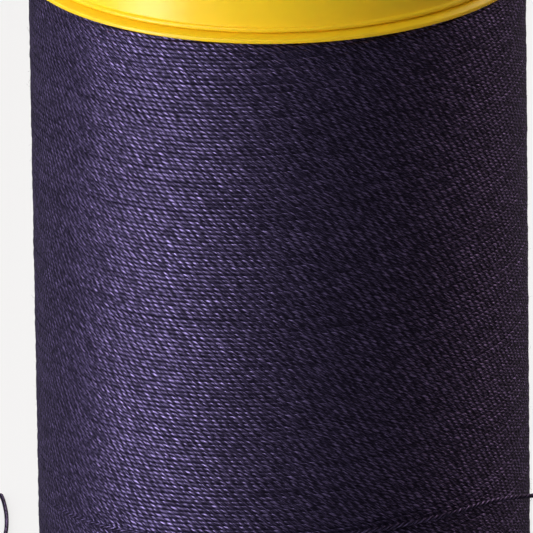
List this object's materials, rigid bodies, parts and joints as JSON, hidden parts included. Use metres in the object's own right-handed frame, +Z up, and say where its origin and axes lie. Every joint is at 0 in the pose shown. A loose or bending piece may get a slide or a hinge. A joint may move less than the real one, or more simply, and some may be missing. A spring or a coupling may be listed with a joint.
{
  "type": "spool of thread",
  "caption": "Sewing thread wound on a straight plastic spool with a snap cap at each end and a loose thread end.",
  "frame": {"origin": "centre of the end face of the bottom cap, on which the spool stands", "axes": "+Z up along the spool's axis, from the bottom cap to the top cap; the loose thread end leaves the pack at the front right, towards +X"},
  "size_m": [0.0482, 0.0584, 0.058],
  "materials": {
    "barrel_plastic": "satin",
    "cap_plastic": "gloss",
    "label_paper": "matte paper",
    "thread": "fine twisted thread"
  },
  "bodies": {
    "spool": {"barrel": "barrel_plastic", "top_flange": "cap_plastic", "bottom_flange": "cap_plastic", "inner_thread_layers": "thread", "outer_thread_layer": "thread", "thread_tail": "thread"},
    "top_cap": {"top_snap_cap": "cap_plastic", "top_label": "label_paper"},
    "bottom_cap": {"bottom_snap_cap": "cap_plastic", "bottom_label": "label_paper"}
  },
  "joints": [
    {"name": "top_cap_slide", "type": "slide", "parent": "spool", "child": "top_cap", "axis": [0, 0, 1], "range_m": [0, 0.0015]},
    {"name": "bottom_cap_slide", "type": "slide", "parent": "spool", "child": "bottom_cap", "axis": [0, 0, -1], "range_m": [0, 0.0015]}
  ]
}
